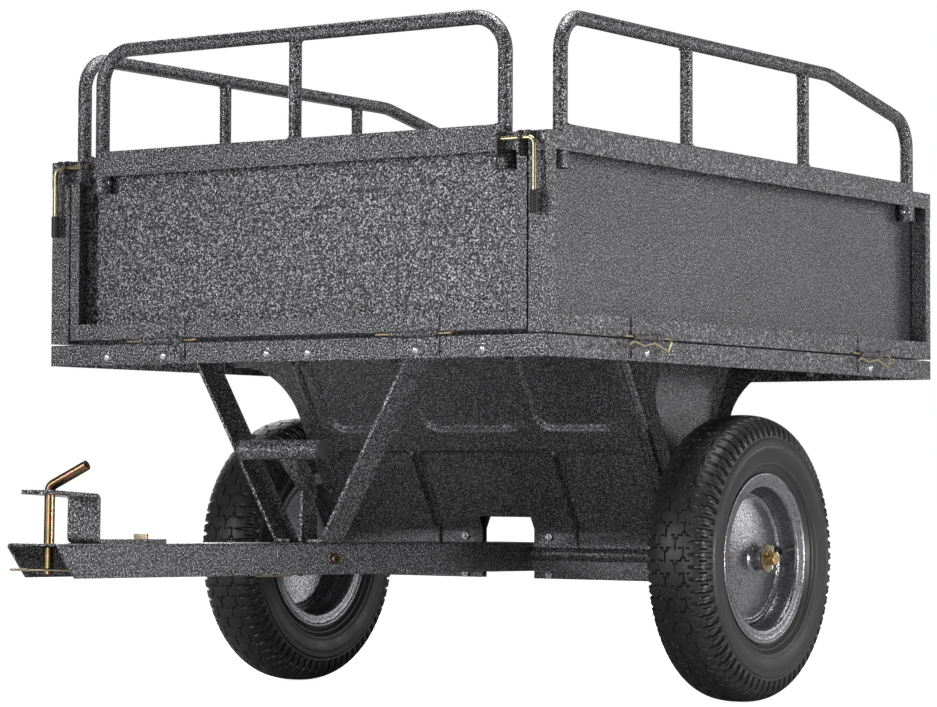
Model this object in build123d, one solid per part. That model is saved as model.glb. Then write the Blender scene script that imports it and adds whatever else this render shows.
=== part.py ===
from build123d import *
import math
import os

os.makedirs("parts", exist_ok=True)

# Tow-behind dump cart. Millimetres. +X = the cart's left side, -Y = the towing end, +Z up.
# Every dimension below is laid out from the point on the ground straight under the middle of the
# axle. The saved pieces are then shifted by SHIFT_Y, so that the origin is on the ground at the
# centre of the cart's plan outline.

# ---------------------------------------------------------------- driving dimensions
SHIFT_Y = 253.74        # axle to plan centre
BED_HW = 420.0          # half width over the bed rail
BED_HL = 558.0          # half length over the bed rail
RAIL_TOP = 500.0        # top of the bed rail above ground
RAIL_H = 29.0           # rail height
RAIL_T = 2.5
RAIL_FL = 32.0          # rail top flange width
SHEET = 1.5             # floor, trough and gate sheet

TYRE_R = 203.0          # 16 x 4.00-8 tyre
TYRE_HW = 50.0
WHEEL_X = 391.0         # wheel mid-plane
RIM_LIP_R = 121.0
AXLE_R = 9.5
AXLE_Z = TYRE_R
AXLE_HL = 447.0

GATE_Z0 = 507.0         # lower edge of the front and rear gates
SIDE_Z0 = 502.3         # lower edge of the side gates
GATE_Z1 = 762.0
GATE_D = 32.0           # gate pan depth
GATE_HX = 385.0         # half length of the front and rear gates
HINGE_Z = 503.5
HINGE_OFF = 4.5         # hinge axis outboard of the rail face
HINGE_R = 4.5
PIN_R = 1.75            # hinge clip wire
HINGES_X = (-213.0, 213.0)
HINGES_Y = (-318.0, 345.0)

HOOP_R = 10.0
HOOP_WALL = 1.6
HOOP_TOP = 918.0        # tube centre
HOOP_FOOT = 717.0
SOCKET_Z = 716.0        # lower end of the sleeve that a hoop leg stands in
SOCKET_R = 12.2
HOOP_BEND = 48.0
HOOP_LEG_X = 341.0
HOOP_LEG_Y = 508.0
UPRIGHT_R = 9.0
BAR_H = 12.0

SLOPE = 0.589           # trough sheet: horizontal run per unit of drop
TROUGH_Y = 142.0        # half length of the trough at z = 470
TROUGH_HX = 293.5       # half width of the trough
WING_HX = 316.0         # half width over the trough wings beside the wheels
STRIP_Z0 = 166.5

TONGUE_HW = 41.5
TONGUE_TOP = 219.7      # before the drawbar's slight upward tilt
TONGUE_H = 42.4
TONGUE_T = 3.5
TONGUE_FRONT = -1069.0
TONGUE_REAR = 25.0
TONGUE_TILT = 0.71      # degrees, nose up about the axle

PIVOT_Y, PIVOT_Z = -503.4, 198.8     # tipping lever pivot, before the tilt
HITCH_Y = -1039.0
HITCH_R = 6.5


# ---------------------------------------------------------------- helpers
def bx(x0, x1, y0, y1, z0, z1):
    return Pos((x0 + x1) / 2, (y0 + y1) / 2, (z0 + z1) / 2) * Box(abs(x1 - x0), abs(y1 - y0), abs(z1 - z0))


def cx(x0, x1, y, z, r):
    return Pos((x0 + x1) / 2, y, z) * Rot(0, 90, 0) * Cylinder(r, abs(x1 - x0))


def cy(y0, y1, x, z, r):
    return Pos(x, (y0 + y1) / 2, z) * Rot(90, 0, 0) * Cylinder(r, abs(y1 - y0))


def cz(z0, z1, x, y, r):
    return Pos(x, y, (z0 + z1) / 2) * Cylinder(r, abs(z1 - z0))


def prism_x(pts, x0, x1):
    """Closed (y, z) outline extruded from x0 to x1."""
    f = make_face(Polyline(*[(x0, y, z) for y, z in pts], close=True))
    return extrude(f, amount=x1 - x0, dir=(1, 0, 0))


def prism_y(pts, y0, y1):
    """Closed (x, z) outline extruded from y0 to y1."""
    f = make_face(Polyline(*[(x, y0, z) for x, z in pts], close=True))
    return extrude(f, amount=y1 - y0, dir=(0, 1, 0))


def band(pts, t):
    """Outline of a bent strip of thickness t along a 2-D centre line."""
    def side(s):
        out = []
        for i, p in enumerate(pts):
            ds = []
            if i > 0:
                ds.append((p[0] - pts[i - 1][0], p[1] - pts[i - 1][1]))
            if i < len(pts) - 1:
                ds.append((pts[i + 1][0] - p[0], pts[i + 1][1] - p[1]))
            ns = []
            for a, b in ds:
                m = math.hypot(a, b)
                ns.append((-b / m, a / m))
            nx = sum(n[0] for n in ns)
            ny = sum(n[1] for n in ns)
            m = math.hypot(nx, ny)
            nx, ny = nx / m, ny / m
            k = nx * ns[0][0] + ny * ns[0][1]
            out.append((p[0] + s * nx * t / 2 / k, p[1] + s * ny * t / 2 / k))
        return out
    return side(1) + side(-1)[::-1]


def rod(points, radius, bends, inner=0.0):
    """Round bar or tube along straight runs joined by tangent arcs; bends = radius at each inner point."""
    P = [Vector(*p) for p in points]
    if not isinstance(bends, (list, tuple)):
        bends = [bends] * (len(P) - 2)
    edges = []
    cur = P[0]
    for i in range(1, len(P) - 1):
        d1 = (P[i] - P[i - 1]).normalized()
        d2 = (P[i + 1] - P[i]).normalized()
        th = math.acos(max(-1, min(1, d1.dot(d2))))
        t = bends[i - 1] * math.tan(th / 2)
        a, b = P[i] - d1 * t, P[i] + d2 * t
        n = (d2 - d1).normalized()
        m = P[i] + n * (bends[i - 1] / math.cos(th / 2) - bends[i - 1])
        edges.append(Line(cur, a).edge())
        edges.append(ThreePointArc(a, m, b).edge())
        cur = b
    edges.append(Line(cur, P[-1]).edge())
    path = Wire(edges)
    pl = Plane(origin=P[0], z_dir=(P[1] - P[0]).normalized())
    sec = pl * Circle(radius)
    solid = sweep(sec, path=path)
    if inner:
        solid = solid - sweep(pl * Circle(inner), path=path)
    return solid


def mir_x(s):
    return mirror(s, about=Plane.YZ)


def mir_y(s):
    return mirror(s, about=Plane.XZ)


def tilt(s):
    """Turns a drawbar piece nose up about the axle."""
    return Pos(0, 0, AXLE_Z) * Rot(-TONGUE_TILT, 0, 0) * Pos(0, 0, -AXLE_Z) * s


def save(name, *solids):
    """Writes one node; several solids stay separate."""
    flat = []
    for s in solids:
        flat.extend((Pos(0, SHIFT_Y, 0) * s).solids())
    shape = flat[0] if len(flat) == 1 else Compound(flat)
    shape.label = name
    export_step(shape, f"parts/{name}.step")


# ---------------------------------------------------------------- bed rail (angle section)
F = -BED_HL
RZ0 = RAIL_TOP - RAIL_H
BOLT_Z = 483.5
bolt_xs = (-317.0, -213.0, -35.0, 35.0, 213.0, 317.0)


def rail_side():
    s = bx(BED_HW - RAIL_T, BED_HW, -BED_HL, BED_HL, RZ0, RAIL_TOP)
    s += bx(BED_HW - RAIL_FL, BED_HW - RAIL_T + 0.01, -BED_HL + RAIL_T, BED_HL - RAIL_T, RAIL_TOP - RAIL_T, RAIL_TOP)
    for y in HINGES_Y:
        s -= cx(BED_HW - 6, BED_HW + 1, y, BOLT_Z, 3.2)
    return s


def rail_front_half():
    s = bx(0.15, BED_HW - RAIL_T, F, F + RAIL_T, RZ0, RAIL_TOP)
    s += bx(0.15, BED_HW - RAIL_FL, F + RAIL_T - 0.01, F + RAIL_FL, RAIL_TOP - RAIL_T, RAIL_TOP)
    for x in bolt_xs:
        if x > 0:
            s -= cy(F - 1, F + 6, x, BOLT_Z, 3.2)
    return s


left_rail = rail_side()
save("left_bed_rail", left_rail)
save("right_bed_rail", mir_x(left_rail))
frh = rail_front_half()
save("front_rail_left_half", frh)
save("front_rail_right_half", mir_x(frh))
save("rear_rail_left_half", mir_y(frh))
save("rear_rail_right_half", mir_y(mir_x(frh)))


# ---------------------------------------------------------------- floor and trough sheets
def yo(z):
    return -TROUGH_Y + SLOPE * (470.0 - z)


K = math.sqrt(1 + SLOPE ** 2)
FZ = RAIL_TOP - RAIL_T              # floor surface
BZ0 = FZ - SHEET
STRIP_Y = -6.0
z_b = 470.0 - (TROUGH_Y + STRIP_Y) / SLOPE
z_bi = 470.0 - (TROUGH_Y + STRIP_Y + SHEET - SHEET * K) / SLOPE


def yi(z):
    return yo(z) + SHEET * K


def bed_sheet():
    pts = [(F + RAIL_T, BZ0), (yo(BZ0), BZ0), (STRIP_Y, z_b), (STRIP_Y, STRIP_Z0),
           (STRIP_Y + SHEET, STRIP_Z0), (STRIP_Y + SHEET, z_bi), (yi(FZ), FZ), (F + RAIL_T, FZ)]
    hx = BED_HW - RAIL_T
    s = prism_x(pts, -hx, hx)
    # saddle pressed around the axle
    ring = cx(-hx, hx, 0, AXLE_Z, AXLE_R + 0.2 + SHEET) & bx(-hx, hx, -40, STRIP_Y + SHEET, 150, 260)
    s = s + ring - cx(-hx - 1, hx + 1, 0, AXLE_Z, AXLE_R + 0.2)
    # wheel arches: the wings sweep in from the full width to just outside the trough
    r = 72.0
    zt = 481.0
    for sg in (1, -1):
        a = bx(sg * (WING_HX + r), sg * 440, -170, 40, 100, zt)
        b = bx(sg * WING_HX, sg * (WING_HX + r + 0.01), -170, 40, 100, zt - r)
        c = cy(-170, 40, sg * (WING_HX + r), zt - r, r)
        s = s - a - b - c
    # joggle that lets the rail flange sit on the floor, with the open floor as a face of its own
    s -= bx(-hx - 1, hx + 1, F, F + RAIL_FL + 0.1, FZ - 0.2, FZ + 1)
    for sg in (1, -1):
        s -= bx(sg * (BED_HW - RAIL_FL - 0.1), sg * (hx + 1), F, 0, FZ - 0.2, FZ + 1)
    # passage for the drawbar
    s -= bx(-45.5, 45.5, -40, 40, 150, 257)
    for x in (-74.0, 74.0):
        for z in (228.0, 172.5):
            s -= cy(-12, 0, x, z, 3.2)
    return s


fs = bed_sheet()
save("front_bed_sheet", fs)
save("rear_bed_sheet", mir_y(fs))

g = 0.1
side = prism_x([(yi(FZ) + g, FZ), (yi(245) + g, 245), (-yi(245) - g, 245), (-yi(FZ) - g, FZ)], TROUGH_HX - SHEET, TROUGH_HX)
side += bx(TROUGH_HX - SHEET, BED_HW - RAIL_T, yi(BZ0) + 0.4, -yi(BZ0) - 0.4, BZ0, FZ)
save("trough_side_left", side)
save("trough_side_right", mir_x(side))

strip = prism_x([(yi(261) + 0.02, 261), (yi(259.5) + 0.02, 259.5), (-yi(259.5) - 0.02, 259.5), (-yi(261) - 0.02, 261)], -TROUGH_HX + SHEET, TROUGH_HX - SHEET)
save("trough_floor_strip", strip)

# stiffening ribs on the outside of both sheets, either side of the drawbar passage
rib = prism_x([(yo(355) , 355), (yo(352) - 5.0, 350), (STRIP_Y - 5.0, 240), (STRIP_Y - 5.0, 217), (STRIP_Y, 217), (STRIP_Y, z_b)], 119.5, 122.5)
ribs = [rib, mir_x(rib), mir_y(rib), mir_y(mir_x(rib))]
save("trough_stiffening_ribs", *ribs)

# ---------------------------------------------------------------- V-shaped front prop
STRUT_Y0, STRUT_Y1 = -530.0, -480.0
strut = prism_y(band([(-228, BZ0 - 2.6), (-189, BZ0 - 2.6), (-38, 229.1), (38, 229.1), (189, BZ0 - 2.6), (228, BZ0 - 2.6)], 5.0), STRUT_Y0, STRUT_Y1)
strut -= bx(-14.3, 14.3, STRUT_Y0 - 1, -485.0, 220, 240)
save("bed_prop_strut", strut)

# ---------------------------------------------------------------- axle and its clamp bolts
axle = cx(-AXLE_HL, AXLE_HL, 0, AXLE_Z, AXLE_R)
for sg in (1, -1):
    axle -= cz(AXLE_Z - 12, AXLE_Z + 12, sg * 440.0, 0, 1.8)
axle = chamfer(axle.edges().filter_by(GeomType.CIRCLE).filter_by(lambda e: abs(abs(e.center().X) - AXLE_HL) < 0.01), 1.5)
save("axle", axle)

clamp = []
for x in (-74.0, 74.0):
    for z in (228.0, 172.5):
        b = cy(-16, 9.5, x, z, 3.0)
        b += Pos(x, -8.6, z) * Rot(90, 0, 0) * extrude(RegularPolygon(5.8, 6), 2.6, both=True)
        b += cy(6.0, 9.5, x, z, 6.5)
        clamp.append(b)
save("axle_clamp_bolts", *clamp)

washers = []
for sg in (1, -1):
    for x0, x1 in ((431.4, 434.4), (347.0, 350.0)):
        washers.append(cx(sg * x0, sg * x1, 0, AXLE_Z, 19.0) - cx(sg * (x0 - 1), sg * (x1 + 1), 0, AXLE_Z, AXLE_R + 0.2))
save("axle_washers", *washers)
cot = []
for sg in (1, -1):
    c = cz(AXLE_Z - 15, AXLE_Z + 11.5, sg * 440.0, 0, 1.6)
    c += Pos(sg * 440.0, 0, AXLE_Z + 14) * Rot(0, 90, 0) * Torus(3.2, 1.3)
    cot.append(c)
save("axle_cotter_pins", *cot)

# ---------------------------------------------------------------- rail bolts (carriage bolts with nuts)
def carriage_bolt(grip):
    """Along +Y, head outside at y = 0 and below, nut behind the gripped sheets."""
    s = cy(0, grip + 8.5, 0, 0, 3.0)
    dome = Pos(0, 4.7, 0) * Sphere(8.0)
    s += dome & bx(-9, 9, -6, 0, -9, 9)
    s += Pos(0, grip + 2.6, 0) * Rot(90, 0, 0) * extrude(RegularPolygon(5.5, 6), 2.4, both=True)
    return s


bolts = []
for x in bolt_xs:
    off = -2.5 if abs(x) == 213.0 else 0.0
    for m in (lambda q: q, mir_y):
        bolts.append(m(Pos(x, F + off, BOLT_Z) * carriage_bolt(RAIL_T - off)))
for y in HINGES_Y:
    b = Pos(BED_HW + 2.5, y, BOLT_Z) * Rot(0, 0, 90) * carriage_bolt(RAIL_T + 2.5)
    bolts.append(b)
    bolts.append(mir_x(b))
save("bed_rail_bolts", *bolts)

# ---------------------------------------------------------------- hinges
# A hinge in its own frame: axis along X through the origin, the rail and gate faces at y = +HINGE_OFF.
LEAF_T = 2.5
LY0, LY1 = HINGE_OFF - LEAF_T, HINGE_OFF


def leaf_bed():
    s = bx(-38, 38, LY0, LY1, -28, -5.2) + bx(18, 38, LY0, LY1, -6, -1)
    s += cx(18, 38, 0, 0, HINGE_R)
    s -= cx(17, 39, 0, 0, PIN_R + 0.05)
    s -= cy(LY0 - 1, LY1 + 1, 0, BOLT_Z - HINGE_Z, 3.2)
    return s


def leaf_gate():
    s = bx(-38, 38, LY0, LY1, 5.4, 27) + bx(-38, 17, LY0, LY1, 1, 6)
    s += cx(-38, 17, 0, 0, HINGE_R)
    s -= cx(-39, 18, 0, 0, PIN_R + 0.05)
    return s


def clip(hang):
    """R-clip: straight leg through the knuckles, wavy leg hanging outside (hang) or turned into the gap."""
    wave = [(58, 6), (41, 19), (5, 8), (-24, 12), (-49, 7), (-62, 12)]
    pts = [(-62.0, 0, 0), (54.0, 0, 0)]
    if hang:
        pts += [(58.0, -3.5, -4.5)] + [(s, -7.2, -h) for s, h in wave[1:]]
    else:
        pts += [(58.0, 5.0, 0)] + [(s, h, 0) for s, h in wave[1:]]
    rr = [3.0, 3.0, 6.0, 8.0, 8.0, 8.0]
    return rod(pts, PIN_R, rr[:len(pts) - 2])


frontal = [Pos(x, F - HINGE_OFF, HINGE_Z) for x in HINGES_X]
lateral = [Pos(BED_HW + HINGE_OFF, y, HINGE_Z) * Rot(0, 0, 90) for y in HINGES_Y]
lb, lg = leaf_bed(), leaf_gate()
save("bed_hinge_leaves", *([p * lb for p in frontal] + [mir_y(p * lb) for p in frontal]
                           + [p * lb for p in lateral] + [mir_x(p * lb) for p in lateral]))
ch, ci = clip(True), clip(False)
save("gate_hinge_clips", *([p * ci for p in frontal] + [mir_y(p * ci) for p in frontal]
                           + [p * ch for p in lateral] + [mir_x(p * ch) for p in lateral]))
save("front_gate_hinge_leaves", *[p * lg for p in frontal])
save("rear_gate_hinge_leaves", *[mir_y(p * lg) for p in frontal])
save("left_gate_hinge_leaves", *[p * lg for p in lateral])
save("right_gate_hinge_leaves", *[mir_x(p * lg) for p in lateral])

# ---------------------------------------------------------------- gates (pressed pans, recess outward)
GH = GATE_Z1 - GATE_Z0
LIP_SIDE, LIP_LOW, LIP_TOP = 15.5, 22.0, 24.0


def pan(hl, legs, z0=GATE_Z0):
    """Pan in its own frame: length along X, outer face at y = 0, front gate bottom at z = 0; sleeves for the hoop legs."""
    t = SHEET
    lo = z0 - GATE_Z0
    s = bx(-hl, hl, 0, GATE_D, lo, GH) - bx(-hl + t, hl - t, -1, GATE_D - t, lo + t, GH - t)
    s += bx(-hl + t - 0.01, -hl + LIP_SIDE, 0, t, lo + t - 0.01, GH - t + 0.01)
    s += bx(hl - LIP_SIDE, hl - t + 0.01, 0, t, lo + t - 0.01, GH - t + 0.01)
    s += bx(-hl + t, hl - t, 0, t, lo + t - 0.01, LIP_LOW)
    s += bx(-hl + t, hl - t, 0, t, GH - LIP_TOP, GH - t + 0.01)
    for x in legs:
        sg = 1 if x > 0 else -1
        s += cz(SOCKET_Z - GATE_Z0, GH - 0.5, x, GATE_D / 2, SOCKET_R)
        s -= cz(SOCKET_Z - GATE_Z0 - 4, GH + 4, x, GATE_D / 2, HOOP_R + 0.6)
        s -= cx(x - sg * 9, x - sg * 14, GATE_D / 2, SCREW_Z, 2.5)
    return s


SCREW_Z = GH - 31.0


def set_screws(legs):
    """Set screws on the inboard side of the sleeves, in the pan's frame."""
    out = []
    for x in legs:
        sg = 1 if x > 0 else -1
        h = cx(x - sg * SOCKET_R, x - sg * (SOCKET_R + 2.6), GATE_D / 2, SCREW_Z, 3.8)
        h = fillet(h.edges().filter_by(GeomType.CIRCLE).sort_by(Axis.X)[0 if sg > 0 else -1], 1.4)
        out.append(h + cx(x - sg * 10.9, x - sg * (SOCKET_R + 0.1), GATE_D / 2, SCREW_Z, 2.4))
    return out


LATCH_Y = 12.0            # latch rod in front of the gate face
LATCH_DZ = 245.0          # latch rod above the gate's lower edge
LATCH_R = 3.2


def ear(x0, x1, hook=False):
    """D-shaped lug standing out of the gate face, with the rod hole; a hook is open towards the front."""
    s = bx(x0, x1, -LATCH_Y, 0, GH - 33, GH) + cx(x0, x1, -LATCH_Y, GH - 16.5, 16.5)
    s = s & bx(x0, x1, -LATCH_Y - 8.5, 0, GH - 33, GH)
    if hook:
        return s - bx(x0 - 1, x1 + 1, -LATCH_Y - 20, -LATCH_Y + LATCH_R + 0.5, GH - 40, LATCH_DZ + LATCH_R + 0.7)
    return s - cx(x0 - 1, x1 + 1, -LATCH_Y, LATCH_DZ, LATCH_R + 0.45)


ends = pan(GATE_HX, (-HOOP_LEG_X, HOOP_LEG_X))
ends_plain = pan(GATE_HX, ())
for sg in (1, -1):
    for a, b in ((349.5, 352.0), (382.5, 385.0)):
        e = ear(*sorted((sg * a, sg * b)))
        ends = ends + e
        ends_plain = ends_plain + e
front_gate = Pos(0, F, GATE_Z0) * ends
rear_gate = mir_y(Pos(0, F, GATE_Z0) * ends_plain)
save("front_gate", front_gate)
save("rear_gate", rear_gate)

# side gates: same pan turned to face +X, lower by the depth of the rail gap, plus the end hooks that sit over the latch rods
def to_side(q):
    return Pos(BED_HW, 0, GATE_Z0) * Rot(0, 0, 90) * q


sp = to_side(pan(BED_HL, (-HOOP_LEG_Y, HOOP_LEG_Y), SIDE_Z0))
for y in HINGES_Y:
    sp -= bx(BED_HW - 5, BED_HW + 1, y - 39, y + 39, SIDE_Z0 - 1, 508.6)
lug = Pos(0, F, GATE_Z0) * ear(393.0, 395.5, hook=True)
cap = bx(389.0, BED_HW, F - 1.2, F + 0.01, GATE_Z1 - 38.0, GATE_Z1)
left_gate = sp + lug + mir_y(lug) + cap + mir_y(cap)
save("left_gate", left_gate)
save("right_gate", mir_x(left_gate))
save("front_hoop_set_screws", *[Pos(0, F, GATE_Z0) * q for q in set_screws((-HOOP_LEG_X, HOOP_LEG_X))])
side_screws = [to_side(q) for q in set_screws((-HOOP_LEG_Y, HOOP_LEG_Y))]
save("left_hoop_set_screws", *side_screws)
save("right_hoop_set_screws", *[mir_x(q) for q in side_screws])

# ---------------------------------------------------------------- corner latch rods with grips
def latch_rod():
    z = GATE_Z0 + LATCH_DZ
    y = F - LATCH_Y
    return rod([(346.0, y, z), (404.0, y, z), (404.0, y, z - 72.0)], LATCH_R, 9.0)


def latch_grip():
    z = GATE_Z0 + LATCH_DZ
    y = F - LATCH_Y
    return fillet(cz(z - 98.0, z - 68.0, 404.0, y, 5.6).edges(), 1.2) - cz(z - 72.0, z - 60.0, 404.0, y, LATCH_R)


rodl, gripl = latch_rod(), latch_grip()
save("latch_rod_front_left", rodl)
save("latch_grip_front_left", gripl)
save("latch_rod_front_right", mir_x(rodl))
save("latch_grip_front_right", mir_x(gripl))
save("latch_rod_rear_left", mir_y(rodl))
save("latch_grip_rear_left", mir_y(gripl))
save("latch_rod_rear_right", mir_y(mir_x(rodl)))
save("latch_grip_rear_right", mir_y(mir_x(gripl)))

# ---------------------------------------------------------------- hoops
BAR_Z0 = GATE_Z1 + 0.2


def hoop(points, bends, uprights, plane):
    """Tube bow with uprights; plane gives the fixed coordinate. Returns the bow and its foot bar."""
    fix = (lambda s, z: (s, plane[1], z)) if plane[0] == "y" else (lambda s, z: (plane[1], s, z))
    P = [fix(s, z) for s, z in points]
    solid = rod(P, HOOP_R, bends)
    tube = rod(P, HOOP_R, bends, HOOP_R - HOOP_WALL)
    s0, s1 = points[0][0], points[-1][0]
    for u, zt in uprights:
        p = fix(u, 0)
        tube += cz(BAR_Z0 + BAR_H, zt, p[0], p[1], UPRIGHT_R) - solid
    if plane[0] == "y":
        bar = bx(s0, s1, plane[1] - HOOP_R, plane[1] + HOOP_R, BAR_Z0, BAR_Z0 + BAR_H)
    else:
        bar = bx(plane[1] - HOOP_R, plane[1] + HOOP_R, s0, s1, BAR_Z0, BAR_Z0 + BAR_H)
    for s in (s0, s1):
        p = fix(s, 0)
        bar -= cz(700, 800, p[0], p[1], HOOP_R)
    return tube, bar


fh, fb = hoop([(-HOOP_LEG_X, HOOP_FOOT), (-HOOP_LEG_X, HOOP_TOP), (HOOP_LEG_X, HOOP_TOP), (HOOP_LEG_X, HOOP_FOOT)],
              [HOOP_BEND, HOOP_BEND], [(0.0, HOOP_TOP)], ("y", F + GATE_D / 2))
save("front_hoop", fh)
save("front_hoop_foot_bar", fb)
REAR_TOP = HOOP_TOP - 49.0
sh, sb = hoop([(-HOOP_LEG_Y, HOOP_FOOT), (-HOOP_LEG_Y, HOOP_TOP), (248.0, HOOP_TOP), (HOOP_LEG_Y, REAR_TOP), (HOOP_LEG_Y, HOOP_FOOT)],
              [HOOP_BEND, 150.0, HOOP_BEND], [(-180.0, HOOP_TOP), (164.0, HOOP_TOP)], ("x", BED_HW - GATE_D / 2))
save("left_hoop", sh)
save("left_hoop_foot_bar", sb)
save("right_hoop", mir_x(sh))
save("right_hoop_foot_bar", mir_x(sb))

# ---------------------------------------------------------------- wheels
def ring(pts, x0):
    """(x, r) outline turned about the axle."""
    f = make_face(Polyline(*[(x0 + x, 0, AXLE_Z + r) for x, r in pts], close=True))
    return revolve(f, Axis((0, 0, AXLE_Z), (1, 0, 0)), 360)


half_out = [(35.8, 121.0), (44.0, 131.0), (49.0, 148.0), (50.0, 165.0), (47.5, 181.0), (41.5, 192.5), (30.0, 199.0), (15.0, 202.2), (0.0, 203.0)]
half_in = [(0.0, 194.0), (18.0, 193.0), (33.0, 187.0), (39.5, 176.0), (41.5, 163.0), (40.5, 149.0), (35.0, 134.0), (27.0, 124.0), (27.0, 102.3), (35.8, 102.3)]
right_half = half_out[:-1] + [(0.0, 203.0)]
outline = half_out + [(-x, r) for x, r in half_out[-2::-1]] + [(-x, r) for x, r in half_in[::-1]] + half_in[1:]
tyre = ring(outline, WHEEL_X)

rim_pts = [(38.5, 121.0), (38.5, 101.0), (37.0, 99.5), (22.0, 99.5), (16.0, 95.0), (10.0, 84.0), (7.0, 62.0), (13.0, 54.0), (14.0, 30.0), (14.0, 16.0),
           (11.5, 16.0), (11.5, 29.0), (10.5, 52.0), (4.5, 60.0), (7.5, 85.0), (13.5, 96.5), (17.0, 99.5), (-37.0, 99.5), (-38.5, 101.0), (-38.5, 121.0),
           (-36.0, 121.0), (-36.0, 102.0), (36.0, 102.0), (36.0, 121.0)]
rim = ring(rim_pts, WHEEL_X)
hub = cx(WHEEL_X - 38, WHEEL_X + 38, 0, AXLE_Z, 16.0) - cx(WHEEL_X - 50, WHEEL_X + 50, 0, AXLE_Z, 12.6)
rim = rim + hub
bush = cx(WHEEL_X + 12, WHEEL_X + 38, 0, AXLE_Z, 12.5) + cx(WHEEL_X + 38.05, WHEEL_X + 40, 0, AXLE_Z, 16.0)
bush -= cx(WHEEL_X, WHEEL_X + 50, 0, AXLE_Z, AXLE_R + 0.08)
bush = bush + cx(WHEEL_X + 37.9, WHEEL_X + 38.2, 0, AXLE_Z, 12.5) - cx(WHEEL_X, WHEEL_X + 50, 0, AXLE_Z, AXLE_R + 0.08)
bush2 = Pos(2 * WHEEL_X, 0, 0) * mir_x(bush)
a = math.radians(7)
valve = Pos(WHEEL_X + 29, 0, AXLE_Z) * Rot(0, 0, 0) * Rot(7 - 90, 0, 0) * cz(62.0, 99.2, 0, 0, 4.0)
save("left_tyre", tyre)
save("left_rim", rim)
save("left_wheel_bushes", bush, bush2)
save("left_valve_stem", valve)
save("right_tyre", mir_x(tyre))
save("right_rim", mir_x(rim))
save("right_wheel_bushes", mir_x(bush), mir_x(bush2))
save("right_valve_stem", mir_x(valve))

# ---------------------------------------------------------------- drawbar
TB = TONGUE_TOP - TONGUE_H
ch_out = prism_x([(TONGUE_REAR, TB), (TONGUE_REAR, TONGUE_TOP), (TONGUE_FRONT, TONGUE_TOP), (TONGUE_FRONT, TONGUE_TOP - 5), (TONGUE_FRONT + 33, TB)],
                 -TONGUE_HW, TONGUE_HW)
ch_out = fillet([e for e in ch_out.edges().filter_by(Axis.Y) if e.center().Z > TONGUE_TOP - 0.1], 5.0)
ch_in = bx(-TONGUE_HW + TONGUE_T, TONGUE_HW - TONGUE_T, TONGUE_FRONT - 5, TONGUE_REAR + 5, TB - 5, TONGUE_TOP - TONGUE_T)
ch_in = fillet([e for e in ch_in.edges().filter_by(Axis.Y) if e.center().Z > TB], 2.0)
channel = ch_out - ch_in
channel -= cx(-60, 60, 0, AXLE_Z, AXLE_R + 0.08)
channel -= bx(-7, 7, -556, -470, TONGUE_TOP - 10, TONGUE_TOP + 5)
channel -= cx(-60, 60, PIVOT_Y, PIVOT_Z, 4.1)
channel -= cz(TONGUE_TOP - 10, TONGUE_TOP + 5, 0, HITCH_Y, HITCH_R + 0.5)
channel -= cz(TONGUE_TOP - 10, TONGUE_TOP + 5, 0, -863.0, 5.2)
save("drawbar_channel", tilt(channel))

ST = 5.5
strap_line = [(-1064.0, 282.3), (-974.2, 278.5), (-974.2, TONGUE_TOP + ST / 2), (-841.5, TONGUE_TOP + ST / 2)]
strap = prism_x(band(strap_line, ST), -25.0, 25.0)
for y, z, r in ((-971.45, 281.2, 8.0), (-976.95, 275.9, 2.6), (-976.95, 219.7, 8.0), (-971.45, 225.2, 2.6)):
    strap = fillet([min(strap.edges().filter_by(Axis.X), key=lambda e: math.hypot(e.center().Y - y, e.center().Z - z))], r)
strap -= cz(260, 300, 0, HITCH_Y, HITCH_R + 0.5)
strap -= cz(TONGUE_TOP - 1, TONGUE_TOP + 10, 0, -863.0, 5.2)
save("hitch_strap", tilt(strap))

sbolt = cz(TONGUE_TOP - 16, TONGUE_TOP + ST, 0, -863.0, 5.0)
sbolt += Pos(0, -863.0, TONGUE_TOP + ST) * extrude(RegularPolygon(9.8, 6), 6.4)
sbolt += Pos(0, -863.0, TONGUE_TOP - TONGUE_T - 8) * extrude(RegularPolygon(9.8, 6), 8)
save("hitch_strap_bolt", tilt(sbolt))

pb = cx(-TONGUE_HW - 9, TONGUE_HW, PIVOT_Y, PIVOT_Z, 4.0)
head = cx(TONGUE_HW, TONGUE_HW + 4.5, PIVOT_Y, PIVOT_Z, 7.8)
head = fillet(head.edges().filter_by(GeomType.CIRCLE).sort_by(Axis.X)[-1], 2.5)
pb = pb + head + cx(-TONGUE_HW - 6.5, -TONGUE_HW, PIVOT_Y, PIVOT_Z, 7.0)
save("lever_pivot_bolt", tilt(pb))

# return spring of the tipping lever, hooked to the web ahead of the lever
spring = cy(-622.0, -541.0, 0, TB + 1.2, 5.0) + cz(TB + 1.2, TONGUE_TOP - TONGUE_T - 0.2, 0, -624.0, 1.5) + cy(-626.0, -620.0, 0, TB + 1.2, 1.5)
spring += cy(-545.0, -533.5, 0, TB + 1.2, 1.5)
save("lever_return_spring", tilt(spring))

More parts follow.
